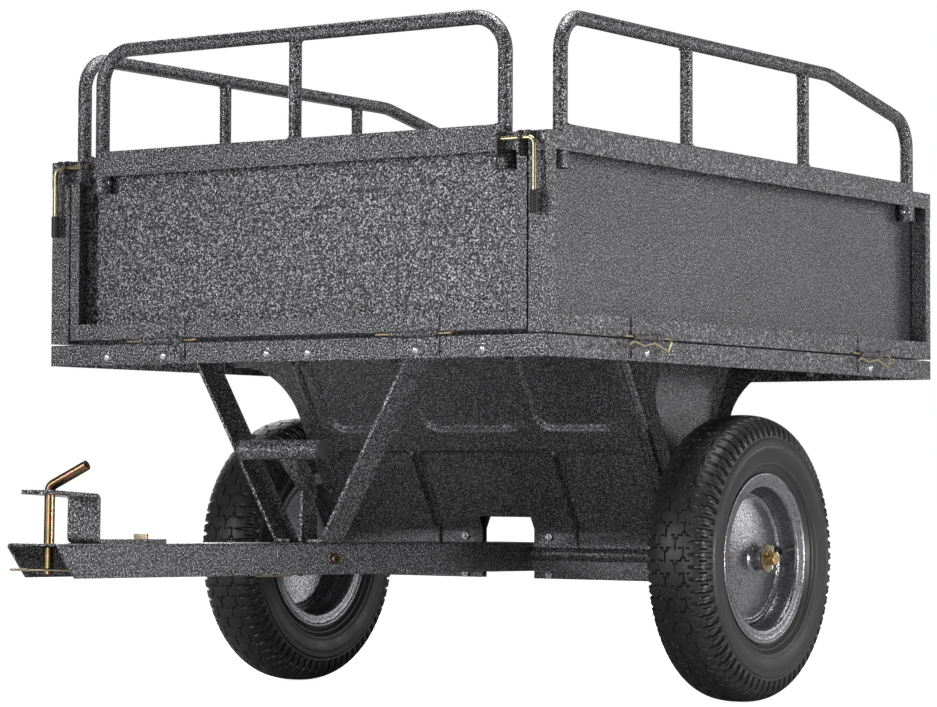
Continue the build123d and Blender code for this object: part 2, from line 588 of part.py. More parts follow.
# ---------------------------------------------------------------- tipping lever with its pedal tube
PED_Y, PED_Z, PED_R, PED_HX = -570.0, 344.4, 13.5, 67.0
lev = prism_x([(-577, 343.5), (-571, 329), (-523.4, 289.5), (-525, 226), (-530, 180), (-524, 174), (-514, 176), (-492, 190), (-488.4, 226), (-492.7, 304.5), (-512.4, 329), (-552, 343.5)], -3.0, 3.0)
lev -= cx(-10, 10, PIVOT_Y, PIVOT_Z, 4.06)
lev -= cx(-10, 10, PED_Y, PED_Z, PED_R)
save("tipping_lever", tilt(lev))
ped = cx(-PED_HX, PED_HX, PED_Y, PED_Z, PED_R) - cx(-PED_HX - 1, PED_HX + 1, PED_Y, PED_Z, PED_R - 2)
save("lever_pedal_tube", tilt(ped))
capl = fillet(cx(PED_HX, PED_HX + 3.0, PED_Y, PED_Z, PED_R).edges(), 1.0) + cx(PED_HX - 10, PED_HX + 0.1, PED_Y, PED_Z, PED_R - 2)
save("lever_pedal_end_caps", tilt(capl), tilt(mir_x(capl)))

# ---------------------------------------------------------------- hitch pin and its R-clip
pin = rod([(0, HITCH_Y, TB + 4.5), (0, HITCH_Y, 289.5), (52.0, HITCH_Y + 8, 316.0)], HITCH_R, 10.0)
CZ = TB + 8.0 + 2.5
u = Vector(-0.55, -0.835, 0).normalized()
n = Vector(-u.Y, u.X, 0)
pin -= rod([tuple(Vector(0, HITCH_Y, CZ) - u * 30), tuple(Vector(0, HITCH_Y, CZ) + u * 30)], 1.75, [])
save("hitch_pin", tilt(pin))


def cp(s, w):
    q = Vector(0, HITCH_Y, CZ) + u * s + n * w
    return (q.X, q.Y, q.Z)


hclip = rod([cp(-30, 0), cp(42, 0), cp(50, 5), cp(46, 13), cp(30, 16), cp(8, 9.5), cp(-10, 12), cp(-24, 10)], 1.5, [3.0, 3.5, 3.5, 6.0, 8.0, 8.0])
save("hitch_pin_clip", tilt(hclip))
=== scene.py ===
import math

import bmesh
import bpy
import numpy as np
from mathutils import Matrix, Vector


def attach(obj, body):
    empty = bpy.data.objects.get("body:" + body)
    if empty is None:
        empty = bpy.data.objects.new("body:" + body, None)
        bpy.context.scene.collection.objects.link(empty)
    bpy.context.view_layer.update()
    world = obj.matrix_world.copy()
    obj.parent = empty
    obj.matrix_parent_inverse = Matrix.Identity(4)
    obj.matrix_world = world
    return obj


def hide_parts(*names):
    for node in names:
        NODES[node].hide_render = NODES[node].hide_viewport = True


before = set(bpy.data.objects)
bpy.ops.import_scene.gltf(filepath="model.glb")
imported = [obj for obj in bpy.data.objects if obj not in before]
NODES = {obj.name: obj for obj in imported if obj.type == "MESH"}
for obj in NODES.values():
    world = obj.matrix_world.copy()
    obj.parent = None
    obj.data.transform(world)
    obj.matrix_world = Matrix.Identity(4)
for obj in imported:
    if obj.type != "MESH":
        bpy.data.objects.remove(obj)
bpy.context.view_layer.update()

MM = 0.001
SHIFT_Y = 253.74          # axle to plan centre, as in the CAD
AXLE_Z = 203.0
WHEEL_X = 391.0
RNG = np.random.default_rng(7)


# ------------------------------------------------------------------ mesh helpers
def to_row(pts):
    """mm from the point under the axle -> metres in the row frame."""
    p = np.asarray(pts, float).reshape(-1, 3) * MM
    p[:, 1] += SHIFT_Y * MM
    return p


def tilt(pts):
    """The drawbar's slight nose-up turn about the axle."""
    p = np.asarray(pts, float).reshape(-1, 3).copy()
    t = math.radians(-0.71)
    y, z = p[:, 1].copy(), p[:, 2] - AXLE_Z
    p[:, 1] = y * math.cos(t) - z * math.sin(t)
    p[:, 2] = AXLE_Z + y * math.sin(t) + z * math.cos(t)
    return p


def make(name, verts_mm, faces, mat, body, angle=40.0, row=False):
    v = np.asarray(verts_mm) if row else to_row(verts_mm)
    me = bpy.data.meshes.new(name)
    me.from_pydata([tuple(x) for x in v], [], [tuple(int(i) for i in f) for f in faces])
    me.validate()
    bm = bmesh.new()
    bm.from_mesh(me)
    bmesh.ops.recalc_face_normals(bm, faces=bm.faces)
    bm.to_mesh(me)
    bm.free()
    me.shade_smooth()
    me.set_sharp_from_angle(angle=math.radians(angle))
    ob = bpy.data.objects.new(name, me)
    bpy.context.scene.collection.objects.link(ob)
    ob.data.materials.append(mat)
    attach(ob, body)
    return ob


def join(parts):
    """[(verts, faces)] -> one (verts, faces)."""
    vs, fs, n = [], [], 0
    for v, f in parts:
        v = np.asarray(v, float).reshape(-1, 3)
        vs.append(v)
        fs.extend(tuple(i + n for i in q) for q in f)
        n += len(v)
    return np.vstack(vs), fs


def chaikin(pts, n=2, closed=True):
    p = np.asarray(pts, float)
    for _ in range(n):
        if closed:
            q = np.roll(p, -1, 0)
            a, b = p * .75 + q * .25, p * .25 + q * .75
            p = np.stack([a, b], 1).reshape(-1, p.shape[1])
        else:
            a, b = p[:-1] * .75 + p[1:] * .25, p[:-1] * .25 + p[1:] * .75
            p = np.vstack([p[:1], np.stack([a, b], 1).reshape(-1, p.shape[1]), p[-1:]])
    return p


def lathe_x(profile, x0, n=160, y=0.0, z=AXLE_Z):
    """Closed (x, r) outline turned about an axis along X."""
    pr = np.asarray(profile, float)
    a = np.arange(n) * 2 * math.pi / n
    v = np.empty((n, len(pr), 3))
    v[:, :, 0] = x0 + pr[None, :, 0]
    v[:, :, 1] = y + pr[None, :, 1] * np.cos(a)[:, None]
    v[:, :, 2] = z + pr[None, :, 1] * np.sin(a)[:, None]
    m = len(pr)
    f = [(i * m + j, i * m + (j + 1) % m, ((i + 1) % n) * m + (j + 1) % m, ((i + 1) % n) * m + j)
         for i in range(n) for j in range(m)]
    return v.reshape(-1, 3), f


def tube(path, r, n=10, rs=None, cap=True):
    """Round bar along a polyline; rs gives a radius per point."""
    p = np.asarray(path, float)
    m = len(p)
    t = np.gradient(p, axis=0)
    t /= np.linalg.norm(t, axis=1)[:, None]
    ref = np.array([0, 0, 1.0]) if abs(t[0][2]) < .9 else np.array([1.0, 0, 0])
    u = ref - t[0] * ref.dot(t[0])
    u /= np.linalg.norm(u)
    vs = []
    a = np.arange(n) * 2 * math.pi / n
    for i in range(m):
        u = u - t[i] * u.dot(t[i])
        u /= np.linalg.norm(u)
        w = np.cross(t[i], u)
        rr = r if rs is None else rs[i]
        vs.append(p[i] + rr * (np.cos(a)[:, None] * u + np.sin(a)[:, None] * w))
    v = np.vstack(vs)
    f = [(i * n + k, i * n + (k + 1) % n, (i + 1) * n + (k + 1) % n, (i + 1) * n + k)
         for i in range(m - 1) for k in range(n)]
    if cap:
        f += [tuple(range(n))[::-1], tuple(range((m - 1) * n, m * n))]
    return v, f


def weld_ring(c, axis, r, bead, n=56, m=8, seed=1, arc=None):
    """Lumpy weld bead round a tube; the arc argument is not used."""
    g = np.random.default_rng(seed)
    ax = np.asarray(axis, float)
    ref = np.array([0, 0, 1.0]) if abs(ax[2]) < .9 else np.array([1.0, 0, 0])
    u = np.cross(ax, ref)
    u /= np.linalg.norm(u)
    w = np.cross(ax, u)
    a = np.arange(n) * 2 * math.pi / n
    k = 1 + .16 * np.sin(a * 14 + g.uniform(0, 6)) + .07 * g.standard_normal(n)
    b = np.arange(m) * 2 * math.pi / m
    v = np.empty((n, m, 3))
    for i in range(n):
        d = math.cos(a[i]) * u + math.sin(a[i]) * w
        for j in range(m):
            v[i, j] = np.asarray(c) + d * (r + bead * k[i] * math.cos(b[j])) + ax * bead * k[i] * math.sin(b[j])
    f = [(i * m + j, i * m + (j + 1) % m, ((i + 1) % n) * m + (j + 1) % m, ((i + 1) % n) * m + j)
         for i in range(n) for j in range(m)]
    return v.reshape(-1, 3), f


def weld_line(a, b, bead, seed=1, m=8):
    """Lumpy straight weld bead from a to b."""
    g = np.random.default_rng(seed)
    a, b = np.asarray(a, float), np.asarray(b, float)
    L = np.linalg.norm(b - a)
    n = max(6, int(L / 1.1))
    s = np.linspace(0, 1, n)
    rs = bead * (1 + .17 * np.sin(s * L / 4.2 * 2 * math.pi + g.uniform(0, 6)) + .06 * g.standard_normal(n))
    rs[0] *= .4
    rs[-1] *= .4
    rs[1] *= .8
    rs[-2] *= .8
    return tube(a + (b - a) * s[:, None], bead, m, rs)


def grid_solid(top, bot, mask):
    """Closed solid from two (rows, cols, 3) grids over the cells in mask."""
    R, C = top.shape[:2]
    idx = np.arange(R * C).reshape(R, C)
    off = R * C
    f = []
    for i in range(R - 1):
        for j in range(C - 1):
            if not mask[i, j]:
                continue
            a, b, c, d = idx[i, j], idx[i, j + 1], idx[i + 1, j + 1], idx[i + 1, j]
            f.append((a, b, c, d))
            f.append((d + off, c + off, b + off, a + off))
            if i == 0 or not mask[i - 1, j]:
                f.append((b, a, a + off, b + off))
            if i == R - 2 or not mask[i + 1, j]:
                f.append((d, c, c + off, d + off))
            if j == 0 or not mask[i, j - 1]:
                f.append((a, d, d + off, a + off))
            if j == C - 2 or not mask[i, j + 1]:
                f.append((c, b, b + off, c + off))
    v = np.vstack([top.reshape(-1, 3), bot.reshape(-1, 3)])
    used = np.unique(np.array([k for q in f for k in q]))
    back = -np.ones(len(v), int)
    back[used] = np.arange(len(used))
    return v[used], [tuple(back[list(q)]) for q in f]


def sstep(a, b, x):
    t = np.clip((x - a) / (b - a), 0, 1)
    return t * t * (3 - 2 * t)


# ------------------------------------------------------------------ materials
def new_mat(name):
    m = bpy.data.materials.new(name)
    m.use_nodes = True
    nt = m.node_tree
    for n in list(nt.nodes):
        nt.nodes.remove(n)
    out = nt.nodes.new("ShaderNodeOutputMaterial")
    bs = nt.nodes.new("ShaderNodeBsdfPrincipled")
    nt.links.new(bs.outputs[0], out.inputs[0])
    tc = nt.nodes.new("ShaderNodeTexCoord")
    return m, nt, bs, tc.outputs["Object"]


def noise(nt, co, scale, detail=2.0, rough=.5, dist=0.0):
    n = nt.nodes.new("ShaderNodeTexNoise")
    n.inputs["Scale"].default_value = scale
    n.inputs["Detail"].default_value = detail
    n.inputs["Roughness"].default_value = rough
    n.inputs["Distortion"].default_value = dist
    nt.links.new(co, n.inputs["Vector"])
    return n.outputs["Fac"]


def ramp(nt, fac, stops, mode="LINEAR"):
    r = nt.nodes.new("ShaderNodeValToRGB")
    r.color_ramp.interpolation = mode
    el = r.color_ramp.elements
    while len(el) < len(stops):
        el.new(.5)
    for e, (p, c) in zip(el, stops):
        e.position = p
        e.color = (c, c, c, 1) if isinstance(c, (int, float)) else (*c, 1)
    nt.links.new(fac, r.inputs[0])
    return r.outputs[0]


def mix(nt, fac, a, b, mode="MIX"):
    n = nt.nodes.new("ShaderNodeMix")
    n.data_type = "RGBA"
    n.blend_type = mode
    for k, v in ((0, fac), (6, a), (7, b)):
        if isinstance(v, bpy.types.NodeSocket):
            nt.links.new(v, n.inputs[k])
        elif isinstance(v, (int, float)):
            n.inputs[k].default_value = v if k == 0 else (v, v, v, 1)
        else:
            n.inputs[k].default_value = (*v, 1)
    return n.outputs[2]


def maprange(nt, v, a, b, c, d):
    n = nt.nodes.new("ShaderNodeMapRange")
    for i, k in ((1, a), (2, b), (3, c), (4, d)):
        n.inputs[i].default_value = k
    nt.links.new(v, n.inputs[0])
    return n.outputs[0]


def math_n(nt, op, a, b=None):
    n = nt.nodes.new("ShaderNodeMath")
    n.operation = op
    for k, v in enumerate((a, b)):
        if v is None:
            continue
        if isinstance(v, (int, float)):
            n.inputs[k].default_value = v
        else:
            nt.links.new(v, n.inputs[k])
    return n.outputs[0]


def bump(nt, height, strength, dist, normal=None):
    n = nt.nodes.new("ShaderNodeBump")
    n.inputs["Strength"].default_value = strength
    n.inputs["Distance"].default_value = dist
    nt.links.new(height, n.inputs["Height"])
    if normal is not None:
        nt.links.new(normal, n.inputs["Normal"])
    return n.outputs[0]


def hammertone(name, dark, light, metal, r0, r1, scale=400.0, strength=1.0, dist=.0009, tint=1.04, spec=.5, axle=False):
    """Speckled powder coat: small dark cells in a paler metallic ground."""
    m, nt, bs, co = new_mat(name)
    cell = noise(nt, co, scale, .6, .5, .35)
    fine = noise(nt, co, scale * 2.3, 1.0, .5, .2)
    broad = noise(nt, co, 9.0, 3.0, .55)
    speck = ramp(nt, cell, [(.40, tuple(dark * .5 * k for k in (1, .985, tint))), (.475, tuple(dark * 1.6 * k for k in (1, .985, tint))),
                            (.60, tuple(light * k for k in (1, .985, tint))), (.70, tuple(light * 1.9 * k for k in (1, .985, tint)))])
    tone = ramp(nt, broad, [(.3, .92), (.7, 1.06)])
    col = mix(nt, 1.0, speck, tone, "MULTIPLY")
    col = mix(nt, .12, col, ramp(nt, fine, [(.35, dark * .6), (.65, light * 1.3)]))
    if axle:
        sep = nt.nodes.new("ShaderNodeSeparateXYZ")
        nt.links.new(co, sep.inputs[0])
        end = maprange(nt, math_n(nt, "ABSOLUTE", sep.outputs[0]), .4295, .4305, 0, 1)
        col = mix(nt, end, col, (.50, .33, .14))
        nt.links.new(maprange(nt, end, 0, 1, metal, 1), bs.inputs["Metallic"])
    else:
        bs.inputs["Metallic"].default_value = metal
    nt.links.new(col, bs.inputs["Base Color"])
    nt.links.new(maprange(nt, cell, .38, .62, r0, r1), bs.inputs["Roughness"])
    bs.inputs["Specular IOR Level"].default_value = spec
    h = math_n(nt, "ADD", cell, math_n(nt, "MULTIPLY", fine, .2))
    nt.links.new(bump(nt, h, strength, dist), bs.inputs["Normal"])
    return m


def zinc(name, stops, rough=(.2, .36), scale=22.0, grain=900.0):
    """Plated steel: tints drift over the surface, with fine drawing marks."""
    m, nt, bs, co = new_mat(name)
    a = noise(nt, co, scale, 4.0, .6, 1.2)
    col = ramp(nt, a, stops)
    b = noise(nt, co, grain, 2.0, .6)
    col = mix(nt, .12, col, ramp(nt, b, [(.3, .2), (.7, .8)]), "OVERLAY")
    nt.links.new(col, bs.inputs["Base Color"])
    bs.inputs["Metallic"].default_value = 1.0
    nt.links.new(maprange(nt, b, .3, .7, rough[0], rough[1]), bs.inputs["Roughness"])
    nt.links.new(bump(nt, b, .18, .00012), bs.inputs["Normal"])
    return m


def rubber(name, base, r0, r1, grain=520.0, dust=.35, spec=.4):
    m, nt, bs, co = new_mat(name)
    a = noise(nt, co, 26.0, 4.0, .6, .4)
    b = noise(nt, co, grain, 3.0, .6)
    col = ramp(nt, a, [(.3, tuple(base * k for k in (.92, .92, .95))), (.7, tuple(base * k for k in (1.35, 1.35, 1.42)))])
    col = mix(nt, dust, col, ramp(nt, b, [(.4, base * .6), (.75, base * 1.7)]))
    nt.links.new(col, bs.inputs["Base Color"])
    nt.links.new(maprange(nt, a, .3, .7, r0, r1), bs.inputs["Roughness"])
    bs.inputs["Specular IOR Level"].default_value = spec
    nt.links.new(bump(nt, b, .3, .00025), bs.inputs["Normal"])
    return m


M = {
    "powder_coat_speckled": hammertone("powder_coat", .014, .225, .50, .16, .28, scale=480.0, dist=.0010),
    "rim_hammertone": hammertone("rim_hammertone", .17, .215, .80, .20, .27, scale=430.0, dist=.00045),
    "steel_axle": hammertone("axle_coat", .014, .21, .5, .16, .30, dist=.0009, axle=True),
    "zinc_bright": zinc("zinc_bright", [(.3, (.55, .56, .58)), (.5, (.74, .75, .76)), (.7, (.62, .63, .66))], (.16, .3)),
    "zinc_yellow": zinc("zinc_yellow", [(.32, (.36, .33, .20)), (.45, (.44, .37, .23)), (.56, (.36, .34, .23)), (.7, (.44, .30, .22))], (.22, .36)),
    "zinc_copper": zinc("zinc_copper", [(.30, (.12, .065, .04)), (.42, (.22, .105, .065)), (.52, (.13, .115, .055)), (.62, (.24, .095, .08)), (.74, (.17, .12, .06))], (.22, .36), scale=20.0),
    "tyre_rubber": rubber("tyre_rubber", .017, .34, .52),
    "black_rubber": rubber("black_rubber", .012, .42, .58, grain=800.0),
    "black_plastic": rubber("black_plastic", .02, .36, .5, grain=1100.0, spec=.5),
    "bush_plastic": rubber("bush_plastic", .03, .38, .5, grain=1100.0, spec=.5),
}


# painted shade: a lower-contrast copy of the same powder coat (paler dark cells, duller light flecks) stands in for the
# softer light on the downward-facing trough and bed sheets; the real sheets wear the same coat as the rest
SHADED_SHEET_COAT = hammertone("sheet_coat", .032, .155, .50, .20, .30, scale=500.0, dist=.0006)


def slot_of(n):
    if n.endswith("_tyre"):
        return "tyre_rubber"
    if n.endswith("_rim"):
        return "rim_hammertone"
    if n.startswith("latch_grip") or n.endswith("valve_stem"):
        return "black_rubber"
    if n == "axle":
        return "steel_axle"
    if n in ("axle_clamp_bolts", "bed_rail_bolts") or n.endswith("_set_screws"):
        return "zinc_bright"
    if n in ("axle_washers", "axle_cotter_pins", "gate_hinge_clips", "hitch_pin_clip", "lever_return_spring", "hitch_strap_bolt") or n.startswith("latch_rod"):
        return "zinc_yellow"
    if n in ("hitch_pin", "lever_pivot_bolt"):
        return "zinc_copper"
    if n == "lever_pedal_end_caps":
        return "black_plastic"
    if n.endswith("wheel_bushes"):
        return "bush_plastic"
    return "powder_coat_speckled"


BEVEL = {"powder_coat_speckled": .0008, "zinc_bright": .0005, "zinc_yellow": .0003, "zinc_copper": .0006, "steel_axle": .0005,
         "black_rubber": .0005, "black_plastic": .0005, "bush_plastic": .0006}
for n, o in NODES.items():
    s = slot_of(n)
    o.data.materials.clear()
    # trough and bed sheet nodes take the shaded copy of the powder coat (painted shade); every other node gets its slot
    # material
    o.data.materials.append(SHADED_SHEET_COAT if n.startswith("trough_") or n.startswith("bed_sheet") or n.endswith("_sheet") else M[s])
    if s in BEVEL and n not in ("gate_hinge_clips", "hitch_pin_clip", "left_gate", "right_gate", "front_gate", "rear_gate"):
        w = o.modifiers.new("weld", "WELD")
        w.merge_threshold = 2e-5
        d = o.modifiers.new("planar", "DECIMATE")
        d.decimate_type = "DISSOLVE"
        d.angle_limit = math.radians(.4)
        b = o.modifiers.new("edges", "BEVEL")
        b.width = BEVEL[s]
        b.segments = 2
        b.limit_method = "ANGLE"
        b.angle_limit = math.radians(38)
        b.use_clamp_overlap = False
        k = o.modifiers.new("normals", "WEIGHTED_NORMAL")
        k.keep_sharp = False
        k.weight = 60


# ------------------------------------------------------------------ tyres
def tyre_mesh(mirror):
    P = 2 * math.pi * 203.0 / 72
    half = chaikin([(0.0, 203.0), (9, 202.9), (18, 202.1), (27, 200.3), (35, 196.8), (41.2, 192.2), (45.6, 186.6), (48.4, 179.0), (49.8, 171.0),
                    (50.0, 163.0), (49.7, 154), (48.6, 145.5), (46.2, 136.5), (42.6, 129.0), (39.2, 124.2), (37.0, 121.4), (35.9, 117.0), (35.8, 103.0)], 3, closed=False)
    seg = np.r_[0, np.cumsum(np.linalg.norm(np.diff(half, axis=0), axis=1))]
    w = np.r_[np.arange(0, 69.0, 1.05), np.arange(69.3, 75.5, .6), np.arange(76.2, 101, 1.5), np.arange(101.5, 114.0, .8), [116, 119, seg[-1]]]
    px = np.interp(w, seg, half[:, 0])
    pr = np.interp(w, seg, half[:, 1])
    tx, tr = np.gradient(px, w), np.gradient(pr, w)
    L = np.hypot(tx, tr)
    nx, nr = -tr / L, tx / L
    N = 72 * 12
    s = np.arange(N) * (2 * math.pi / N) * 203.0

    def relief(sgn):
        S, W = np.meshgrid(s, w, indexing="ij")
        S = (S + (P * .5 if sgn < 0 else 0)) % P
        h = np.zeros(S.shape)
        S2 = np.meshgrid(s, w, indexing="ij")[0]
        S2 = (S2 + (P if sgn < 0 else 0)) % (2 * P)
        blocks = [((0, 0), (0, 5)), ((0, 5), (4.4, 5)), ((4.4, 5), (4.4, 11)), ((4.4, 11), (0, 11)), ((0, 11), (0, 17)), ((0, 17), (-4.4, 17)), ((-4.4, 17), (-4.4, 23)), ((-4.4, 23), (0, 23)), ((0, 23), (0, 30)),
                  ((4.4, 8), (P + 1.0, 8)), ((-4.4, 20), (-P - 1.0, 20)), ((P, 12.5), (P, 17)), ((P, 25), (P, 30))]
        d = np.full(S2.shape, 99.0)
        for a, b in blocks:
            for k in (-2, 0, 2):
                ax, ay, vx, vy = a[0] + k * P, a[1], b[0] - a[0], b[1] - a[1]
                q = np.clip(((S2 - ax) * vx + (W - ay) * vy) / (vx * vx + vy * vy + 1e-9), 0, 1)
                d = np.minimum(d, np.hypot(S2 - ax - q * vx, W - ay - q * vy))
        g1 = 1 - sstep(.45, 1.15, d)
        h -= 2.2 * g1 * (1 - sstep(27, 31, W))
        # shoulder lugs: wedge grooves that widen towards the sidewall
        c = np.abs((S - P * .5 + P / 2) % P - P / 2)
        wid = 1.3 + 2.9 * sstep(27, 60, W)
        g2 = (1 - sstep(wid - .7, wid + .6, c)) * sstep(26, 29, W) * (1 - sstep(63.5, 66.5, W))
        c3 = np.abs((S + P / 2) % P - P / 2)
        g3 = (1 - sstep(.6, 1.7, c3)) * sstep(40, 43, W) * (1 - sstep(55, 58, W))
        h -= 5.2 * g2 * (.45 + .55 * sstep(30, 44, W))
        h -= 2.6 * g3
        # sidewall rings, vent nubs, mould dashes
        h += .8 * np.exp(-((W - 71.5) / .8) ** 2) - .9 * np.exp(-((W - 68.2) / .9) ** 2)
        h += .45 * sstep(79, 80.5, W) * (1 - sstep(97, 98.5, W))
        h += .9 * np.exp(-((W - 104.0) / 1.0) ** 2) - 1.0 * np.exp(-((W - 109.5) / 1.1) ** 2)
        ang = (np.arange(N) * 360.0 / N)[:, None]
        for w0, step, ph, amp, sw, ss in ((76.8, 15, 4, 1.1, .9, .9), (100.6, 30, 11, 1.0, .9, .9)):
            da = ((ang - ph + step / 2) % step - step / 2) * math.pi / 180 * 175
            h += amp * np.exp(-(da / ss) ** 2) * np.exp(-((W - w0) / sw) ** 2)
        da = ((ang - 19 + 30) % 60 - 30) * math.pi / 180 * 160
        h += .5 * np.exp(-(da / .9) ** 2) * sstep(80, 83, W) * (1 - sstep(92, 95, W))
        return h

    a = np.arange(N) * 2 * math.pi / N
    cols = []
    for sgn in (1, -1):
        h = relief(sgn)
        X = sgn * (px[None] + nx[None] * h)
        R = pr[None] + nr[None] * h
        cols.append((X, R))
    inner = np.array([(27.0, 102.6), (27.5, 124.0), (35.5, 136.0), (40.0, 150.0), (40.5, 164.0), (38.0, 177.0), (30.0, 188.0), (16.0, 193.0)])
    inn = np.vstack([inner, [[0, 194.0]], (inner * [-1, 1])[::-1]])
    X = np.hstack([cols[1][0][:, ::-1], cols[0][0][:, 1:], np.repeat(inn[None, :, 0], N, 0)])
    R = np.hstack([cols[1][1][:, ::-1], cols[0][1][:, 1:], np.repeat(inn[None, :, 1], N, 0)])
    m = X.shape[1]
    v = np.empty((N, m, 3))
    v[:, :, 0] = (WHEEL_X + X) * (-1 if mirror else 1)
    v[:, :, 1] = R * np.cos(a)[:, None]
    v[:, :, 2] = AXLE_Z + R * np.sin(a)[:, None]
    i, j = np.meshgrid(np.arange(N), np.arange(m), indexing="ij")
    f = np.stack([i * m + j, i * m + (j + 1) % m, ((i + 1) % N) * m + (j + 1) % m, ((i + 1) % N) * m + j], -1).reshape(-1, 4)
    return v.reshape(-1, 3), f


for side, sg in (("left", 1), ("right", -1)):
    v, f = tyre_mesh(sg < 0)
    t = make(side + "_treaded_tyre", v, f, M["tyre_rubber"], side + "_wheel", 48)
    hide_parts(side + "_tyre")

    barrel = chaikin([(38.6, 121.4), (39.9, 119.8), (40.0, 117.0), (38.4, 114.6), (37.6, 110.5), (37.3, 104.5), (35.8, 100.9), (31, 99.2), (21, 98.8),
                      (14, 97.4), (8, 94.0), (-8, 94.0), (-14, 97.4), (-21, 98.8), (-31, 99.2), (-35.8, 100.9), (-37.3, 104.5), (-37.6, 110.5),
                      (-38.4, 114.6), (-40.0, 117.0), (-39.9, 119.8), (-38.6, 121.4), (-37.0, 119.8), (-36.4, 117), (-35.6, 112), (-35.2, 105), (-33.5, 102.0),
                      (-21, 101.0), (-13, 99.8), (-7, 96.2), (7, 96.2), (13, 99.8), (21, 101.0), (33.5, 102.0), (35.2, 105), (35.6, 112), (36.4, 117), (37.0, 119.8)], 2)
    disc = chaikin([(2.5, 94.6), (9.2, 94.4), (12.6, 92.6), (12.9, 89.6), (10.0, 86.6), (9.8, 83), (11.4, 76), (14.2, 65), (17.0, 53), (19.0, 41), (20.2, 32), (20.9, 25.5),
                    (21.0, 15.6), (18.8, 15.6), (18.7, 25), (18.0, 32), (16.8, 41), (14.8, 53), (12.0, 65), (9.2, 76), (7.6, 83), (7.8, 87.4), (9.6, 90.0), (8.4, 92.0), (2.5, 92.4)], 2)
    hub = chaikin([(38.2, 12.6), (38.2, 15.4), (37.0, 16.4), (24.5, 16.6), (23.0, 17.6), (21.8, 20.2), (20.4, 22.4), (16, 22.4), (16, 17.0), (9, 16.8), (-36, 16.4), (-38.2, 15.4), (-38.2, 12.6)], 1)
    parts = [lathe_x(barrel, WHEEL_X, 192), lathe_x(disc, WHEEL_X, 192), lathe_x(hub, WHEEL_X, 96)]
    parts.append(weld_ring((WHEEL_X + 17.2, 0, AXLE_Z), (1, 0, 0), 16.6, 2.0, seed=3))
    for k in range(4):          # weld runs between disc and barrel, on the inside
        a0 = math.radians(20 + 90 * k)
        pth = [(WHEEL_X + 3.5, 92.6 * math.cos(a0 + q), AXLE_Z + 92.6 * math.sin(a0 + q)) for q in np.linspace(0, .35, 26)]
        parts.append(tube(pth, 1.6, 8, 1.6 * (1 + .2 * np.sin(np.arange(26) * 1.7))))
    v, f = join(parts)
    if sg < 0:
        v = v * [-1, 1, 1]
    r = make(side + "_pressed_rim", v, f, M["rim_hammertone"], side + "_wheel", 40)
    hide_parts(side + "_rim")

# ------------------------------------------------------------------ pressed relief on the sloping sheets
SL = .589
K = math.sqrt(1 + SL * SL)


def yo(z):
    return -142.0 + SL * (470.0 - z)


def rbox(X, Z, x0, x1, z0, z1, r, soft):
    """1 inside a rounded rectangle, easing to 0 over soft."""
    cx_, cz_ = (x0 + x1) / 2, (z0 + z1) / 2
    qx = np.abs(X - cx_) - (x1 - x0) / 2 + r
    qz = np.abs(Z - cz_) - (z1 - z0) / 2 + r
    d = np.minimum(np.maximum(qx, qz), 0) + np.hypot(np.maximum(qx, 0), np.maximum(qz, 0)) - r
    return 1 - sstep(-soft, 0.0, d)


def slope_relief(rear):
    z = np.linspace(492.5, 240.0, 150)
    x = np.r_[-293.5, -293.2, np.linspace(-291.5, 291.5, 390), 293.2, 293.5]
    X, Z = np.meshgrid(x, z)
    H = 6.8 * np.ones(X.shape)
    for x0, x1 in ((-262, -107), (-92, 92), (107, 257)):
        H -= 6.3 * rbox(X, Z, x0, x1, 385, 560, 30, 8)
    for x0, x1 in ((-266, -125), (-117, 117), (125, 252)):
        H -= 5.6 * rbox(X, Z, x0, x1, 190, 359, 16, 7)
    H += 2.6 * np.exp(-((np.abs(X) - 286.0) / 2.6) ** 2) - 3.4 * np.exp(-((np.abs(X) - 279.0) / 2.4) ** 2)
    low = 1 - sstep(352.0, 357.0, Z)
    H += low * (4.6 * np.exp(-((np.abs(X) - 124.5) / 2.2) ** 2) - 4.2 * np.exp(-((np.abs(X) - 118.0) / 2.4) ** 2))
    H *= 1 - .86 * sstep(252, 240, Z)
    H *= 1 - .8 * sstep(486, 492.5, Z)
    H = np.maximum(H, .12)
    H[:, 0] = H[:, -1] = .1
    H[:, 1] *= .7
    H[:, -2] *= .7
    n = np.array([0, -1 / K, -SL / K])
    base = np.stack([X, yo(Z), Z], -1)
    top = base + n * H[..., None]
    bot = base - n * .7
    mask = np.ones((len(z) - 1, len(x) - 1), bool)
    xc, zc = (x[:-1] + x[1:]) / 2, (z[:-1] + z[1:]) / 2
    mask[(zc[:, None] < 259.5) & (np.abs(xc)[None] < 48.5)] = False
    for sx in (-1, 1):
        mask[(zc[:, None] < 356.5) & (np.abs(xc - sx * 121)[None] < 1.2)] = True
    v, f = grid_solid(top, bot, mask)
    if rear:
        v = v * [1, -1, 1]
    return v, f


# the pressings wear the shaded copy of the powder coat (painted shade)
for nm, rear in (("front", False), ("rear", True)):
    v, f = slope_relief(rear)
    make(nm + "_sheet_pressings", v, f, SHADED_SHEET_COAT, "bed", 50)

